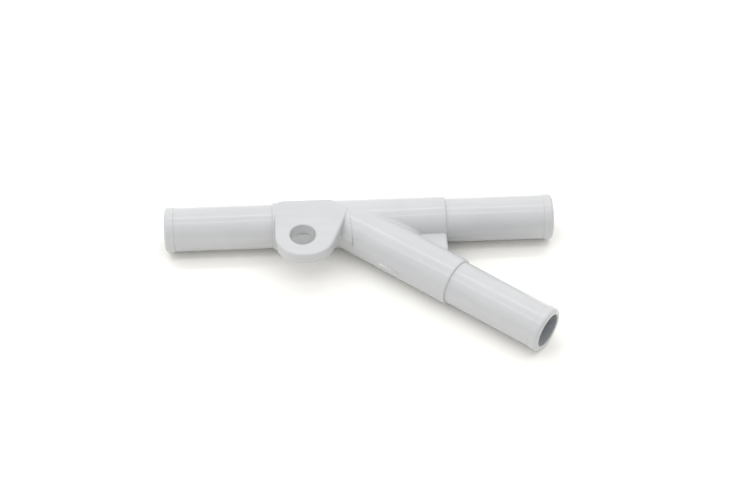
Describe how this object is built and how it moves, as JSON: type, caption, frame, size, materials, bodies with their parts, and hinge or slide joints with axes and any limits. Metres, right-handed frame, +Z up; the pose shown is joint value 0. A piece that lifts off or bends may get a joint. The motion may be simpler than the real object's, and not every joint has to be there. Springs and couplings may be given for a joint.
{
  "type": "tubing y connector",
  "caption": "Hollow moulded Y fitting: a straight run and a slanted branch, each end a spigot that hose is pushed onto, with a flat screw lug beside the junction.",
  "frame": {"origin": "middle of the fitting's box, at the height of the lowest line of the tubes", "axes": "+X along the straight run towards the end beside the branch, +Y away from the branch and the lug, +Z up from the ground through the lug's hole"},
  "size_m": [0.1798, 0.087, 0.0224],
  "materials": {
    "y_connector": "satin, as moulded, light grey"
  },
  "bodies": {
    "root": {"y_connector": "y_connector"}
  },
  "joints": []
}
